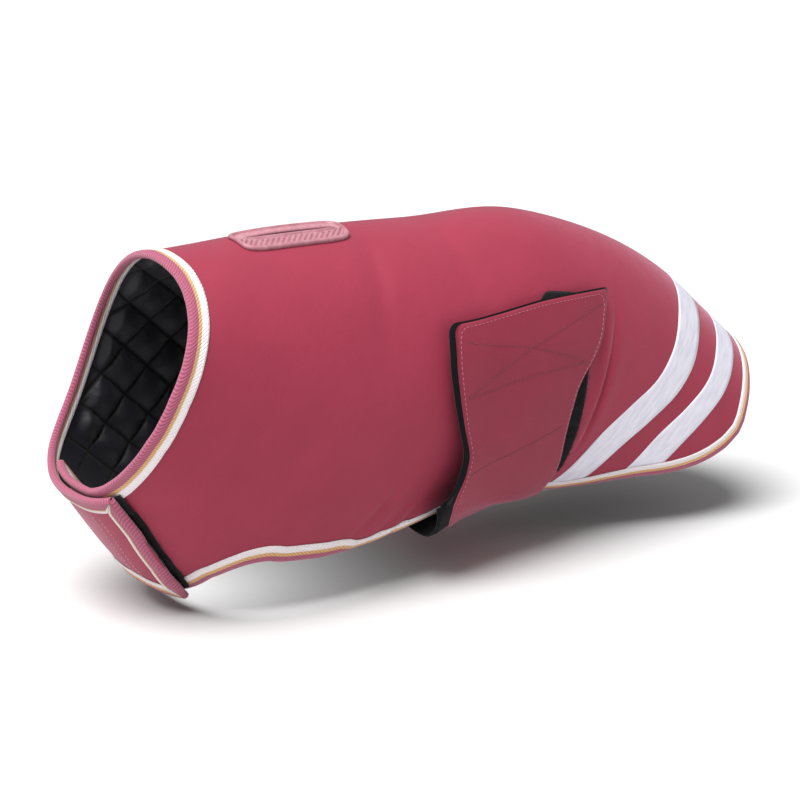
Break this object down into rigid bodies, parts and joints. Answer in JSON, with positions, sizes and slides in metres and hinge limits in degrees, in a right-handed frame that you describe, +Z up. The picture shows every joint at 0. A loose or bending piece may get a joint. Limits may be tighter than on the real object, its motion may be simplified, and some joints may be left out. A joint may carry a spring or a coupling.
{
  "type": "dog winter coat",
  "caption": "Quilt-lined dog winter coat with bound edges, wrap-over chest closure, belly strap, reflective stripes and a rubber lead slot.",
  "frame": {"origin": "inside face of the lining on the centre line of the back over the withers, where the wearer carries the coat", "axes": "+Z up, neck opening towards -Y, tail towards +Y, the coat's left side (belly strap fastening) towards +X"},
  "size_m": [0.1851, 0.5493, 0.2383],
  "materials": {
    "shell_cloth": "burgundy close woven polyester",
    "quilted_lining": "black quilted satin",
    "binding": "woven twill tape, mauve with gold and white bands",
    "reflective": "silver reflective tape",
    "patch_rubber": "satin moulded rubber",
    "fastening_tape": "black hook-and-loop tape",
    "strap_backing": "black brushed cloth"
  },
  "bodies": {
    "root": {"shell_cloth": "shell_cloth", "quilted_lining": "quilted_lining", "neck_binding": "binding", "right_front_binding": "binding", "left_front_binding": "binding", "hem_binding": "binding", "reflective_stripe_front": "reflective", "reflective_stripe_rear": "reflective", "lead_slot_patch": "patch_rubber", "chest_loop_strip": "fastening_tape", "chest_hook_strip": "fastening_tape", "side_loop_panel": "fastening_tape", "strap_hook_panel": "fastening_tape", "belly_strap_cloth": "shell_cloth", "belly_strap_backing": "strap_backing"}
  },
  "joints": []
}
